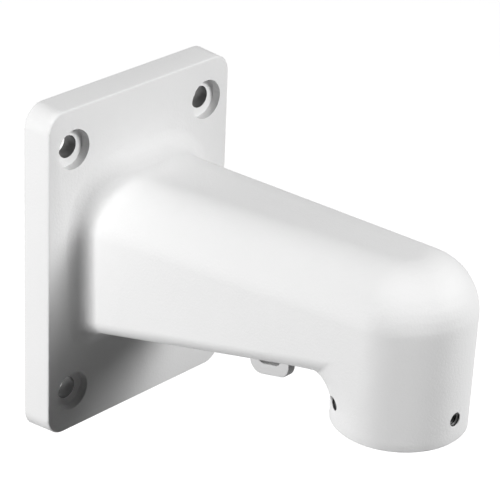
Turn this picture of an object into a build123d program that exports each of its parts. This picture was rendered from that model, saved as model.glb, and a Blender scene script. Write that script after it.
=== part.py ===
"""Wall bracket for a hanging camera, one aluminium casting.

The origin is on the wall, at the middle of the plate. X runs along the wall, -Y leaves it
and Z is up. All sizes are in millimetres and all angles in degrees.
"""
import os
from math import acos, atan2, cos, hypot, radians, sin, sqrt, tan

from build123d import *

# Wall plate, a shallow tray that is open towards the wall
plate_width = 116.0
plate_height = 160.0
plate_thickness = 14.6
plate_corner_radius = 10.5
plate_draft = 3.5
plate_edge_chamfer = 0.9
plate_web = 5.0
plate_rim = 5.5

# Screw holes through the plate, sunk from the front, their distance taken from its edges
screw_edge_x = 16.0
screw_edge_z = 20.25
screw_hole_radius = 5.25
screw_sink_radius = 9.3
screw_sink_depth = 4.4
screw_seat = 5.5
screw_boss_radius = 10.5

# Ribs in the tray, their edges stay clear of the wall
rib_thickness = 4.0
rib_clearance = 2.0

# Arm, widest at the wall, with a rising top and a steeper underside
arm_reach = 169.0
arm_half_width = 37.7
arm_top = 42.2
arm_top_rise = 2.55
arm_bottom = -36.8
arm_bottom_rise = 12.5
arm_top_radius = 25.0
arm_bottom_radius = 8.0
arm_root_radius = 10.0
arm_wall = 4.5
casting_draft = 1.0

# Socket that hangs from the end of the arm
socket_radius = 29.55
socket_bottom = -28.0
socket_edge_chamfer = 0.6
socket_bore_radius = 23.9
socket_lead_in = 1.2

# Blend from the arm's underside into the socket
blend_radius = 10.0
blend_sections = 6
blend_overlap = 0.1
blend_end_cover = 3.0

# Tapped holes that clamp what is held in the socket
set_screw_radius = 3.0
set_screw_height = 11.2
set_screw_lead_in = 0.5
set_screw_count = 3

# Loop under the arm for a safety rope
loop_inner_end = 85.8
loop_outer_end = 108.8
loop_drop = 18.8
loop_bar = 5.4
loop_thickness = 4.8
loop_corner_radius = 6.0
loop_slot_radius = 2.5
loop_edge_chamfer = 0.5
loop_root = 2.0

# How far a cutting shape reaches past the face that it opens
cut_margin = 5.0

# Values that follow from the sizes above
screw_spacing_x = plate_width - 2 * screw_edge_x
screw_spacing_z = plate_height - 2 * screw_edge_z
draft_ratio = tan(radians(casting_draft))
top_slope = radians(arm_top_rise)
underside_slope = radians(arm_bottom_rise)
end_radius = socket_radius - socket_bottom * draft_ratio
side_angle = acos(end_radius / hypot(arm_half_width, arm_reach)) - atan2(arm_reach, arm_half_width)
tray_depth = plate_thickness - plate_web
boss_end = plate_thickness - screw_sink_depth - screw_seat
set_screw_level = socket_bottom + set_screw_height
slot_inner_end = loop_inner_end + loop_bar
slot_outer_end = loop_outer_end - loop_bar


def underside_height(y):
    """Height of the flat underside at the depth y."""
    return arm_bottom - y * tan(underside_slope)


def side_half_width(y, z):
    """Distance of the arm's drafted side from the middle plane."""
    return arm_half_width + y * tan(side_angle) + z * draft_ratio / cos(side_angle)


def socket_radius_at(z):
    """Radius of the drafted socket at the height z."""
    return end_radius + z * draft_ratio


def plan_prism(inset, bottom, top):
    """Upright solid on the outline that the arm has from above, with drafted sides.

    The sides run straight from the wall and turn round the socket's axis without a corner.
    """
    back_x = arm_half_width - inset / cos(side_angle)
    radius = end_radius - inset
    turn_x = radius * cos(side_angle)
    turn_y = -arm_reach - radius * sin(side_angle)
    with BuildPart() as prism:
        with BuildSketch(Plane.XY.offset(bottom)):
            with BuildLine():
                Polyline((-turn_x, turn_y), (-back_x, 0), (back_x, 0), (turn_x, turn_y))
                ThreePointArc((turn_x, turn_y), (0, -arm_reach - radius), (-turn_x, turn_y))
            make_face()
        extrude(amount=top - bottom)
        back = prism.faces().sort_by(Axis.Y)[-1]
        sides = prism.faces().filter_by(lambda face: abs(face.normal_at().Z) < draft_ratio)
        draft(sides - [back], Plane.XY, -casting_draft)
    return prism.part


def arm_form(inset):
    """Arm between its two sloping planes with all its long edges rounded.

    Without an inset it is the outside of the arm, inset by the wall it is the cable way.
    """
    top_plane = Plane(
        origin=(0, 0, arm_top), x_dir=(1, 0, 0), z_dir=(0, sin(top_slope), cos(top_slope))
    ).offset(-inset)
    underside_plane = Plane(
        origin=(0, 0, arm_bottom), x_dir=(1, 0, 0), z_dir=(0, sin(underside_slope), cos(underside_slope))
    ).offset(inset)
    prism = plan_prism(inset, arm_bottom - cut_margin, arm_top + arm_reach * tan(underside_slope))
    with BuildPart() as form:
        add(prism)
        split(bisect_by=top_plane, keep=Keep.BOTTOM)
        split(bisect_by=underside_plane, keep=Keep.TOP)
        underside = form.faces().sort_by(Axis.Z)[0]
        fillet(underside.edges() - underside.edges().group_by(Axis.Y)[-1], arm_bottom_radius - inset)
        ceiling = form.faces().filter_by(lambda face: face.normal_at().Z > cos(underside_slope))[0]
        fillet(ceiling.edges() - ceiling.edges().group_by(Axis.Y)[-1], arm_top_radius - inset)
    return form.part


arm_outside = arm_form(0)
cable_way = arm_form(arm_wall)

# Path of the blend: an arc that leaves the underside and sinks into the socket's wall
blend_centre_z = (
    arm_bottom
    + (arm_reach - end_radius - blend_radius + blend_overlap) * tan(underside_slope)
    - (blend_radius - blend_overlap) / cos(underside_slope)
) / (1 + draft_ratio * tan(underside_slope))
blend_half_width = socket_radius_at(blend_centre_z) - blend_overlap
blend_centre_y = blend_half_width + blend_radius - arm_reach
blend_reach = 3 * end_radius
blend_ceiling = underside_height(-arm_reach - end_radius) + arm_bottom_radius + cut_margin


def blend_section(share):
    """Trough-shaped section across the blend, for a share of the turn from underside to socket.

    Its two lower corners grow from the arm's small rounding to the socket's full round.
    """
    angle = radians(90 + share * 90) - (1 - share) * underside_slope
    start_y = blend_centre_y + blend_radius * sin(underside_slope)
    start_half_width = side_half_width(start_y, underside_height(start_y)) + blend_overlap
    half_width = start_half_width + share * (blend_half_width - start_half_width)
    far_half_width = half_width + (1 - share) * blend_reach * draft_ratio
    corner = arm_bottom_radius + sqrt(share) * (blend_half_width - blend_overlap - arm_bottom_radius)
    plane = Plane(
        origin=(0, blend_centre_y + blend_radius * cos(angle), blend_centre_z + blend_radius * sin(angle)),
        x_dir=(1, 0, 0),
        z_dir=(0, -sin(angle), cos(angle)),
    )
    with BuildSketch(plane) as section:
        with BuildLine():
            Polyline(
                (-half_width, 0),
                (half_width, 0),
                (far_half_width, blend_reach),
                (-far_half_width, blend_reach),
                close=True,
            )
        make_face()
        fillet(section.vertices().sort_by(Axis.Y)[:2], corner)
    return section.sketch


bend_limit = plan_prism(0, socket_bottom, blend_ceiling)
with BuildPart() as bend:
    loft(sections=[blend_section(step / (blend_sections - 1)) for step in range(blend_sections)])
    add(bend_limit, mode=Mode.INTERSECT)

with BuildPart() as socket:
    with BuildSketch(Plane.XY.offset(socket_bottom)):
        with Locations((0, -arm_reach)):
            Circle(end_radius)
    extrude(amount=blend_centre_z + blend_end_cover - socket_bottom)
    draft(socket.faces().filter_by(GeomType.CYLINDER), Plane.XY, -casting_draft)
    chamfer(socket.faces().sort_by(Axis.Z)[0].edges(), socket_edge_chamfer)

# Loop under the arm, a flat bar with a slot, its root sunk into the arm's wall
loop_bottom_drop = loop_drop / cos(underside_slope)
slot_bottom_drop = (loop_drop - loop_bar) / cos(underside_slope)
with BuildPart() as rope_loop:
    with BuildSketch(Plane.YZ) as loop_outline:
        with BuildLine():
            Polyline(
                (-loop_inner_end, underside_height(-loop_inner_end) + loop_root),
                (-loop_inner_end, underside_height(-loop_inner_end) - loop_bottom_drop),
                (-loop_outer_end, underside_height(-loop_outer_end) - loop_bottom_drop),
                (-loop_outer_end, underside_height(-loop_outer_end) + loop_root),
                close=True,
            )
        make_face()
        fillet(loop_outline.vertices().sort_by(Axis.Y)[:2], loop_corner_radius)
    extrude(amount=loop_thickness / 2, both=True)
    with BuildSketch(Plane.YZ) as slot_outline:
        with BuildLine():
            Polyline(
                (-slot_inner_end, underside_height(-slot_inner_end) - loop_root),
                (-slot_inner_end, underside_height(-slot_inner_end) - slot_bottom_drop),
                (-slot_outer_end, underside_height(-slot_outer_end) - slot_bottom_drop),
                (-slot_outer_end, underside_height(-slot_outer_end) - loop_root),
                close=True,
            )
        make_face()
        fillet(slot_outline.vertices(), loop_slot_radius)
    extrude(amount=loop_thickness / 2, both=True, mode=Mode.SUBTRACT)
    chamfer(rope_loop.faces().filter_by(Plane.YZ).edges(), loop_edge_chamfer)

# Tapped hole with its countersink, along X from the socket's axis
set_screw_mouth = socket_radius_at(set_screw_level)
with BuildPart() as set_screw_hole:
    with BuildSketch(Plane.XZ):
        with BuildLine():
            Polyline(
                (0, 0),
                (0, set_screw_radius),
                (set_screw_mouth - set_screw_lead_in, set_screw_radius),
                (set_screw_mouth, set_screw_radius + set_screw_lead_in),
                (set_screw_mouth + cut_margin, set_screw_radius + set_screw_lead_in),
                (set_screw_mouth + cut_margin, 0),
                close=True,
            )
        make_face()
    revolve(axis=Axis.X)

with BuildPart() as bracket_casting:
    # Outside of the plate and the arm
    with BuildSketch(Plane.XZ):
        RectangleRounded(plate_width, plate_height, plate_corner_radius)
    extrude(amount=plate_thickness, taper=plate_draft)
    chamfer(bracket_casting.faces().sort_by(Axis.Y)[0].edges(), plate_edge_chamfer)
    add(arm_outside)
    plate_front = bracket_casting.faces().filter_by(Plane.XZ).filter_by(lambda face: face.inner_wires())[0]
    fillet(plate_front.inner_wires()[0].edges(), arm_root_radius)

    # Socket and its blend under the arm
    add(bend.part)
    add(socket.part)

    # Loop for the safety rope
    add(rope_loop.part)

    # Tray behind the plate, with the screw bosses and the ribs that stand in it
    with BuildSketch(Plane.XZ):
        RectangleRounded(
            plate_width - 2 * plate_rim, plate_height - 2 * plate_rim, plate_corner_radius - plate_rim
        )
    extrude(amount=tray_depth, taper=plate_draft, mode=Mode.SUBTRACT)
    with BuildSketch(Plane.XZ.offset(boss_end)):
        with GridLocations(screw_spacing_x, screw_spacing_z, 2, 2):
            Circle(screw_boss_radius)
    extrude(amount=tray_depth - boss_end)
    with BuildSketch(Plane.XZ.offset(rib_clearance)):
        Rectangle(plate_width - plate_rim, rib_thickness)
        Rectangle(rib_thickness, plate_height - plate_rim)
    extrude(amount=tray_depth - rib_clearance)

    # Cable way through the arm, open into the tray and down through the socket
    add(cable_way, mode=Mode.SUBTRACT)
    with BuildSketch(Plane.XY.offset(socket_bottom)):
        with Locations((0, -arm_reach)):
            Circle(socket_bore_radius)
    extrude(amount=blend_ceiling - socket_bottom, mode=Mode.SUBTRACT)
    socket_mouth = bracket_casting.faces().filter_by(Plane.XY).sort_by(Axis.Z)[0].inner_wires()[0]
    chamfer(socket_mouth.edges(), socket_lead_in)
    with Locations((0, -arm_reach, set_screw_level)):
        with PolarLocations(0, set_screw_count, start_angle=-90):
            add(set_screw_hole.part, mode=Mode.SUBTRACT)

    # Screw holes
    with BuildSketch(Plane.XZ):
        with GridLocations(screw_spacing_x, screw_spacing_z, 2, 2):
            Circle(screw_hole_radius)
    extrude(amount=plate_thickness, mode=Mode.SUBTRACT)
    with BuildSketch(Plane.XZ.offset(plate_thickness - screw_sink_depth)):
        with GridLocations(screw_spacing_x, screw_spacing_z, 2, 2):
            Circle(screw_sink_radius)
    extrude(amount=screw_sink_depth, mode=Mode.SUBTRACT)

bracket_casting.part.label = "bracket_casting"

os.makedirs("parts", exist_ok=True)
export_step(bracket_casting.part, "parts/bracket_casting.step")
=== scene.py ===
"""Looks of the camera wall bracket: white powder coat, cut threads, soft studio light."""

from math import cos, hypot, pi, radians, sin

import bmesh
import bpy
from mathutils import Matrix, Vector
from mathutils.bvhtree import BVHTree


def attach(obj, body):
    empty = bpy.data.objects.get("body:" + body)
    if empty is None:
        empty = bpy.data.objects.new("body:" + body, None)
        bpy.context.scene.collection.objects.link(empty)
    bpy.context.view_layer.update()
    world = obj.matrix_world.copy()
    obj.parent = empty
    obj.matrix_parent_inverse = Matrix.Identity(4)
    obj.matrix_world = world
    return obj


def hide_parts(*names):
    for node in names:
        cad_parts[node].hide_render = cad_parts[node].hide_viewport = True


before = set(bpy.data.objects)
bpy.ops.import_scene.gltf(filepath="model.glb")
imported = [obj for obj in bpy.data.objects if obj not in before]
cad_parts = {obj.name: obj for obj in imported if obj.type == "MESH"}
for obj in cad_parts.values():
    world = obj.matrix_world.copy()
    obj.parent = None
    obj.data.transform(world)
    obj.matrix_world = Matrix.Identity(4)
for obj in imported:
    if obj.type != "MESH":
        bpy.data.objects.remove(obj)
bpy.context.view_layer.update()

# All lengths are in metres. Socket at the arm's end, with its bore and pipe thread
ARM_REACH = 0.169
SOCKET_BOTTOM = -0.028
BORE_RADIUS = 0.0239
BORE_LEAD_IN = 0.0012
PIPE_THREAD_PITCH = 0.00231
PIPE_THREAD_DEPTH = 0.00148
PIPE_THREAD_TURNS = 9

# Set screw holes round the socket, one to the front and two to the rear
SET_SCREW_RADIUS = 0.003
SET_SCREW_LEVEL = -0.0168
SET_SCREW_MOUTH = 0.0292
SET_SCREW_PITCH = 0.001
SET_SCREW_DEPTH = 0.00055
SET_SCREW_TURNS = 5
SET_SCREW_CENTRE = Vector((0, -ARM_REACH, SET_SCREW_LEVEL))
SET_SCREW_DIRECTIONS = [
    Vector((cos(radians(bearing)), sin(radians(bearing)), 0)) for bearing in (-90, 30, 150)
]
SET_SCREW_NAMES = ("set_screw_thread_front", "set_screw_thread_right", "set_screw_thread_left")

# Thread ridges: steps in a turn, steps of a run-out, share of the depth that is sunk into
# the wall, half widths of foot and crest as shares of the pitch
THREAD_STEPS = 48
THREAD_RUN_OUT = 24
THREAD_ROOTING = 0.15
THREAD_FOOT = 0.48
THREAD_CREST = 0.08
THREAD_SHARP_ANGLE = 30

# Screw holes in the plate, and the bosses behind it, which reach further towards the wall
SCREW_X = 0.042
SCREW_Z = 0.05975
SCREW_HOLE_RADIUS = 0.00525
BOSS_END = -0.0047
BOSS_GROWTH = 0.0017

# Turn from the arm's underside to the socket. It is softened fully up to TURN_CORE from its
# middle and no more from TURN_REACH, over a spread along the surface
TURN_Y = -0.13
TURN_Z = -0.006
TURN_OUTWARD = Vector((0, 1, -1)).normalized()
TURN_ALONG = Vector((0, -1, -1)).normalized()
TURN_CORE = 0.012
TURN_REACH = 0.02
TURN_SPREAD = 0.003
TURN_FACING_NONE = 0.1
TURN_FACING_FULL = 0.4

# Cuts across the arm's underside before the turn
TURN_CUTS = 9
TURN_CUT_START = -0.1285
TURN_CUT_SPACING = 0.0012
UNDERSIDE_NORMAL_Z = 0.1
UNDERSIDE_TOP = 0.01

# The rope loop stands within the clearance from the middle and isn't touched
LOOP_CLEARANCE = 0.008
LOOP_FADE = 0.012

# Probes that measure the height of the surface
PROBE_HEIGHT = 0.03
PROBES_A_SIDE = 6

MERGE_DISTANCE = 0.000001
PLANE_TOLERANCE = 0.00001
WALL_TOLERANCE = 0.00002
COVER_TOLERANCE = 0.0001

# Edges of the casting that turn more than this many degrees stay crisp
SHARP_ANGLE = 50

# Finishes: grain per metre, roughness, share and depth of the bump
COAT_FINISH = (900.0, 0.6, 0.6, 0.0002)
MACHINED_FINISH = (2500.0, 0.38, 0.2, 0.00005)
COAT_SPECULAR = 0.3
PLAIN_SPECULAR = 0.5
CLOUDS_PER_METRE = 35.0
ROUGHNESS_SPREAD = 0.05

# Sockets of a Mix node for colours, whose names stand for those of other data too
MIX_SHARE, MIX_FIRST, MIX_SECOND, MIX_COLOUR = 0, 6, 7, 2

# Studio
FLOOR_LEVEL = -0.45
FLOOR_HALF_WIDTH = 6
FLOOR_BOUNCE = 0.12
FLOOR_WHITE = 0.85
FLOOR_GLOW = 0.85
BRACKET_MIDDLE = Vector((0, -0.09, 0))
LAMP_DISTANCE = 1.3


def grain_group():
    """Fine peel and wide clouds, as a height, a roughness and a shade that vary with the place."""
    group = bpy.data.node_groups.new("powder_coat_surface", "ShaderNodeTree")
    for name in ("Grain per metre", "Roughness"):
        group.interface.new_socket(name, in_out="INPUT", socket_type="NodeSocketFloat")
    for name in ("Height", "Roughness", "Shade"):
        group.interface.new_socket(name, in_out="OUTPUT", socket_type="NodeSocketFloat")
    nodes, links = group.nodes, group.links
    start = nodes.new("NodeGroupInput")
    end = nodes.new("NodeGroupOutput")
    place = nodes.new("ShaderNodeTexCoord")
    peel = nodes.new("ShaderNodeTexNoise")
    peel.inputs["Detail"].default_value = 3.0
    peel.inputs["Roughness"].default_value = 0.55
    links.new(place.outputs["Object"], peel.inputs["Vector"])
    links.new(start.outputs["Grain per metre"], peel.inputs["Scale"])
    links.new(peel.outputs["Fac"], end.inputs["Height"])
    cloud = nodes.new("ShaderNodeTexNoise")
    cloud.inputs["Scale"].default_value = CLOUDS_PER_METRE
    cloud.inputs["Detail"].default_value = 2.0
    links.new(place.outputs["Object"], cloud.inputs["Vector"])
    links.new(cloud.outputs["Fac"], end.inputs["Shade"])
    spread = nodes.new("ShaderNodeMapRange")
    spread.inputs["To Min"].default_value = -ROUGHNESS_SPREAD
    spread.inputs["To Max"].default_value = ROUGHNESS_SPREAD
    links.new(cloud.outputs["Fac"], spread.inputs["Value"])
    rough = nodes.new("ShaderNodeMath")
    rough.operation = "ADD"
    links.new(start.outputs["Roughness"], rough.inputs[0])
    links.new(spread.outputs["Result"], rough.inputs[1])
    links.new(rough.outputs["Value"], end.inputs["Roughness"])
    return group


def grey_between(nodes, links, share, first, second):
    """Output that goes from one grey to another with a share."""
    mix = nodes.new("ShaderNodeMix")
    mix.data_type = "RGBA"
    mix.inputs[MIX_FIRST].default_value = (first, first, first, 1)
    mix.inputs[MIX_SECOND].default_value = (second, second, second, 1)
    links.new(share, mix.inputs[MIX_SHARE])
    return mix.outputs[MIX_COLOUR]


def grained_material(name, grain, darkest, lightest, finish, specular, metallic):
    """Material between two greys whose roughness and height follow the grain."""
    grain_per_metre, roughness, bump_share, bump_depth = finish
    material = bpy.data.materials.new(name)
    material.use_nodes = True
    nodes, links = material.node_tree.nodes, material.node_tree.links
    shader = nodes["Principled BSDF"]
    shader.inputs["Specular IOR Level"].default_value = specular
    shader.inputs["Metallic"].default_value = metallic
    surface = nodes.new("ShaderNodeGroup")
    surface.node_tree = grain
    surface.inputs["Grain per metre"].default_value = grain_per_metre
    surface.inputs["Roughness"].default_value = roughness
    tint = grey_between(nodes, links, surface.outputs["Shade"], darkest, lightest)
    links.new(tint, shader.inputs["Base Color"])
    links.new(surface.outputs["Roughness"], shader.inputs["Roughness"])
    bump = nodes.new("ShaderNodeBump")
    bump.inputs["Strength"].default_value = bump_share
    bump.inputs["Distance"].default_value = bump_depth
    links.new(surface.outputs["Height"], bump.inputs["Height"])
    links.new(bump.outputs["Normal"], shader.inputs["Normal"])
    return material


def new_object(name, bm):
    """Object in the scene that takes its form from a bmesh and frees it."""
    mesh = bpy.data.meshes.new(name)
    bm.to_mesh(mesh)
    bm.free()
    piece = bpy.data.objects.new(name, mesh)
    bpy.context.scene.collection.objects.link(piece)
    return piece


def in_screw_hole(point):
    """Whether a point lies on the wall of one of the four screw holes."""
    distance = hypot(abs(point.x) - SCREW_X, abs(point.z) - SCREW_Z)
    return abs(distance - SCREW_HOLE_RADIUS) < WALL_TOLERANCE


def in_set_screw_hole(point):
    """Whether a point lies on the wall of one of the three set screw holes."""
    offset = point - SET_SCREW_CENTRE
    for outward in SET_SCREW_DIRECTIONS:
        reach = offset.dot(outward)
        across = offset - outward * reach
        if reach > 0 and abs(across.length - SET_SCREW_RADIUS) < WALL_TOLERANCE:
            return True
    return False


def ease(value, low, high):
    """Nought up to the low value, one from the high value, and a soft rise between them."""
    share = min(max((value - low) / (high - low), 0), 1)
    return share * share * (3 - 2 * share)


def cut_before_turn(bm):
    """Cut the long faces of the arm's underside, so that they can bend before the turn."""
    for cut in range(TURN_CUTS):
        under_arm = {
            face for face in bm.faces
            if face.normal.z < UNDERSIDE_NORMAL_Z
            and face.calc_center_median().z < UNDERSIDE_TOP
            and max(abs(vert.co.x) for vert in face.verts) > LOOP_CLEARANCE
        }
        geometry = [
            part for parts in (bm.verts, bm.edges) for part in parts
            if under_arm.intersection(part.link_faces)
        ] + [face for face in bm.faces if face in under_arm]
        bmesh.ops.bisect_plane(
            bm, geom=geometry, dist=WALL_TOLERANCE, plane_no=(0, 1, 0),
            plane_co=(0, TURN_CUT_START + cut * TURN_CUT_SPACING, 0),
        )
    bm.normal_update()


def mean_height(surface, point):
    """Mean height of the surface above a point of it, from just before to just behind it.

    It is none where the surface ends on one side, or where the point lies under another wall.
    """
    weights, heights = [], []
    for step in range(-PROBES_A_SIDE, PROBES_A_SIDE + 1):
        away = 2 * step / PROBES_A_SIDE
        start = point + TURN_ALONG * away * TURN_SPREAD + TURN_OUTWARD * PROBE_HEIGHT
        distance = surface.ray_cast(start, -TURN_OUTWARD, PROBE_HEIGHT * 2)[3]
        if distance is None:
            return None
        weights.append(2 ** -(away * away))
        heights.append(PROBE_HEIGHT - distance)
    if abs(heights[PROBES_A_SIDE]) > COVER_TOLERANCE:
        return None
    return sum(weight * height for weight, height in zip(weights, heights)) / sum(weights)


def soften_turn(bm):
    """Bend the arm's lower edges gradually into the turn to the socket."""
    cut_before_turn(bm)
    surface = BVHTree.FromBMesh(bm)
    moves = []
    for vert in bm.verts:
        away = hypot(vert.co.y - TURN_Y, vert.co.z - TURN_Z)
        share = 1 - ease(away, TURN_CORE, TURN_REACH)
        share *= ease(abs(vert.co.x), LOOP_CLEARANCE, LOOP_FADE)
        share *= ease(vert.normal.dot(TURN_OUTWARD), TURN_FACING_NONE, TURN_FACING_FULL)
        height = mean_height(surface, vert.co) if share > 0 else None
        if height is not None:
            moves.append((vert, TURN_OUTWARD * height * share))
    for vert, move in moves:
        vert.co += move


def smooth_casting(node):
    """Merged copy of the casting with smooth roundings and crisp machined edges.

    Its materials are the coat, then the painted shade of the screw hole walls, then the painted
    shade of the set screw hole walls.
    """
    bm = bmesh.new()
    bm.from_mesh(node.data)
    bmesh.ops.remove_doubles(bm, verts=bm.verts, dist=MERGE_DISTANCE)
    for vert in bm.verts:
        if abs(vert.co.y - BOSS_END) < PLANE_TOLERANCE:
            vert.co.y += BOSS_GROWTH
    soften_turn(bm)
    for face in bm.faces:
        face.smooth = True
        # Walls of the screw holes and set screw holes take near-black materials, painted shade of
        # the holes.
        if all(in_screw_hole(vert.co) for vert in face.verts):
            face.material_index = 1
        elif all(in_set_screw_hole(vert.co) for vert in face.verts):
            face.material_index = 2
        else:
            face.material_index = 0
    for edge in bm.edges:
        edge.smooth = edge.is_manifold and edge.calc_face_angle(pi) < radians(SHARP_ANGLE)
    piece = new_object("painted_casting", bm)
    shading = piece.modifiers.new("even_normals", "WEIGHTED_NORMAL")
    shading.keep_sharp = True
    return piece


def thread_ridge(name, radius, depth, pitch, turns, place):
    """Helical ridge that stands inward from a bore's wall, along +Z of its own frame.

    It rises from the wall over the first part of a turn and sinks back into it over the last.
    """
    bm = bmesh.new()
    steps = THREAD_STEPS * turns
    foot = radius + depth * THREAD_ROOTING
    rings = []
    for step in range(steps + 1):
        angle = 2 * pi * step / THREAD_STEPS
        advance = pitch * step / THREAD_STEPS
        rise = min(1, (step + 1) / THREAD_RUN_OUT, (steps + 1 - step) / THREAD_RUN_OUT)
        crest = radius - depth * rise
        profile = (
            (foot, -THREAD_FOOT), (crest, -THREAD_CREST), (crest, THREAD_CREST), (foot, THREAD_FOOT)
        )
        rings.append([
            bm.verts.new((reach * cos(angle), reach * sin(angle), advance + share * pitch))
            for reach, share in profile
        ])
    for ring, following in zip(rings, rings[1:]):
        for corner in range(len(ring)):
            before = corner - 1
            bm.faces.new((ring[corner], ring[before], following[before], following[corner]))
    bm.faces.new(rings[0])
    bm.faces.new(rings[-1])
    bmesh.ops.recalc_face_normals(bm, faces=bm.faces)
    for face in bm.faces:
        face.smooth = True
    for edge in bm.edges:
        edge.smooth = edge.calc_face_angle(0) < radians(THREAD_SHARP_ANGLE)
    bm.transform(place)
    return new_object(name, bm)


def seen_or_mirrored(nodes, links):
    """Output that is one where the camera sees a surface, in a gloss or glass too, else nought."""
    path = nodes.new("ShaderNodeLightPath")
    total = path.outputs["Is Camera Ray"]
    for other in ("Is Glossy Ray", "Is Transmission Ray"):
        either = nodes.new("ShaderNodeMath")
        either.operation = "MAXIMUM"
        links.new(total, either.inputs[0])
        links.new(path.outputs[other], either.inputs[1])
        total = either.outputs["Value"]
    return total


def floor_material():
    """White where it is seen, dim in the light that it throws back, and nothing from below."""
    material = bpy.data.materials.new("pale_studio_floor")
    material.use_nodes = True
    nodes, links = material.node_tree.nodes, material.node_tree.links
    shader = nodes["Principled BSDF"]
    shader.inputs["Roughness"].default_value = 0.9
    shader.inputs["Specular IOR Level"].default_value = 0.1
    shader.inputs["Emission Color"].default_value = (1, 1, 1, 1)
    seen = seen_or_mirrored(nodes, links)
    paint = grey_between(nodes, links, seen, FLOOR_BOUNCE, FLOOR_WHITE)
    links.new(paint, shader.inputs["Base Color"])
    glow = nodes.new("ShaderNodeMath")
    glow.operation = "MULTIPLY"
    glow.inputs[1].default_value = FLOOR_GLOW
    links.new(seen, glow.inputs[0])
    links.new(glow.outputs["Value"], shader.inputs["Emission Strength"])
    side = nodes.new("ShaderNodeNewGeometry")
    nothing = nodes.new("ShaderNodeBsdfTransparent")
    from_above = nodes.new("ShaderNodeMixShader")
    links.new(side.outputs["Backfacing"], from_above.inputs[0])
    links.new(shader.outputs["BSDF"], from_above.inputs[1])
    links.new(nothing.outputs["BSDF"], from_above.inputs[2])
    links.new(from_above.outputs["Shader"], nodes["Material Output"].inputs["Surface"])
    return material


def studio_floor():
    """Plain floor under the bracket, which takes its shadow."""
    bm = bmesh.new()
    bmesh.ops.create_grid(bm, x_segments=1, y_segments=1, size=FLOOR_HALF_WIDTH)
    bm.transform(Matrix.Translation((0, 0, FLOOR_LEVEL)))
    floor = new_object("studio_floor", bm)
    floor.data.materials.append(floor_material())


def white_surroundings():
    """World that gives no light of its own and is white for the camera."""
    world = bpy.data.worlds.new("studio_surroundings")
    bpy.context.scene.world = world
    world.use_nodes = True
    nodes, links = world.node_tree.nodes, world.node_tree.links
    background = nodes["Background"]
    background.inputs["Color"].default_value = (1, 1, 1, 1)
    links.new(seen_or_mirrored(nodes, links), background.inputs["Strength"])


def direction(azimuth, elevation):
    """Unit vector for an elevation and an azimuth, which turns from -Y towards +X."""
    a, e = radians(azimuth), radians(elevation)
    return Vector((sin(a) * cos(e), -cos(a) * cos(e), sin(e)))


def soft_box(name, azimuth, elevation, size, watts):
    """Square soft lamp that faces the bracket's middle."""
    lamp = bpy.data.lights.new(name, "AREA")
    lamp.shape = "SQUARE"
    lamp.size = size
    lamp.energy = watts
    holder = bpy.data.objects.new(name, lamp)
    outward = direction(azimuth, elevation)
    holder.location = BRACKET_MIDDLE + outward * LAMP_DISTANCE
    holder.rotation_euler = outward.to_track_quat("Z", "Y").to_euler()
    bpy.context.scene.collection.objects.link(holder)


def photograph_camera(azimuth, elevation, roll, lens, side, rise, distance):
    """Camera beside the line from the origin to an azimuth and elevation, turned by the roll."""
    a, r = radians(azimuth), radians(roll)
    back = direction(azimuth, elevation)
    level_right = Vector((cos(a), sin(a), 0))
    level_up = back.cross(level_right)
    right = cos(r) * level_right + sin(r) * level_up
    up = -sin(r) * level_right + cos(r) * level_up
    data = bpy.data.cameras.new("photograph_camera")
    data.lens = lens
    data.sensor_width = 36
    data.clip_end = 50
    camera = bpy.data.objects.new("photograph_camera", data)
    turn = Matrix((right, up, back)).transposed().to_4x4()
    camera.matrix_world = Matrix.Translation(back * distance + right * side + up * rise) @ turn
    bpy.context.scene.collection.objects.link(camera)
    bpy.context.scene.camera = camera


grain = grain_group()
coat = grained_material(
    "satin_white_powder_coat", grain, 0.76, 0.79, COAT_FINISH, COAT_SPECULAR, metallic=0.0,
)
# The set screw threads and hole walls and the screw hole walls are near black: painted shade for
# the dark inside of the holes. The pipe thread is bare metal.
bare_thread, painted_shade_thread, painted_shade_hole = (
    grained_material(name, grain, darkest, lightest, MACHINED_FINISH, PLAIN_SPECULAR, metallic)
    for name, darkest, lightest, metallic in (
        ("bare_pipe_thread", 0.50, 0.62, 0.6),
        ("painted_shade_set_screw_thread", 0.03, 0.07, 0.0),
        ("painted_shade_screw_hole", 0.05, 0.12, 0.0),
    )
)

casting = smooth_casting(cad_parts["bracket_casting"])
for material in (coat, painted_shade_hole, painted_shade_thread):
    casting.data.materials.append(material)
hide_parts("bracket_casting")
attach(casting, "root")

socket_thread = thread_ridge(
    "socket_thread", BORE_RADIUS, PIPE_THREAD_DEPTH, PIPE_THREAD_PITCH, PIPE_THREAD_TURNS,
    Matrix.Translation((0, -ARM_REACH, SOCKET_BOTTOM + BORE_LEAD_IN + PIPE_THREAD_PITCH)),
)
socket_thread.data.materials.append(bare_thread)
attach(socket_thread, "root")

for name, outward in zip(SET_SCREW_NAMES, SET_SCREW_DIRECTIONS):
    mouth = SET_SCREW_CENTRE + outward * SET_SCREW_MOUTH
    turn = (-outward).to_track_quat("Z", "Y").to_matrix().to_4x4()
    thread = thread_ridge(
        name, SET_SCREW_RADIUS, SET_SCREW_DEPTH, SET_SCREW_PITCH, SET_SCREW_TURNS,
        Matrix.Translation(mouth - outward * SET_SCREW_PITCH / 2) @ turn,
    )
    thread.data.materials.append(painted_shade_thread)
    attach(thread, "root")

studio_floor()
white_surroundings()
soft_box("key_soft_box", azimuth=20, elevation=30, size=0.45, watts=16.0)
soft_box("low_side_soft_box", azimuth=-108, elevation=0, size=0.35, watts=12.0)
soft_box("high_side_soft_box", azimuth=-108, elevation=50, size=0.35, watts=8.2)
photograph_camera(
    azimuth=-48.868, elevation=25.663, roll=2.326, lens=183.09,
    side=0.061236, rise=-0.007021, distance=1.167899,
)

bpy.context.scene.view_settings.view_transform = "Standard"
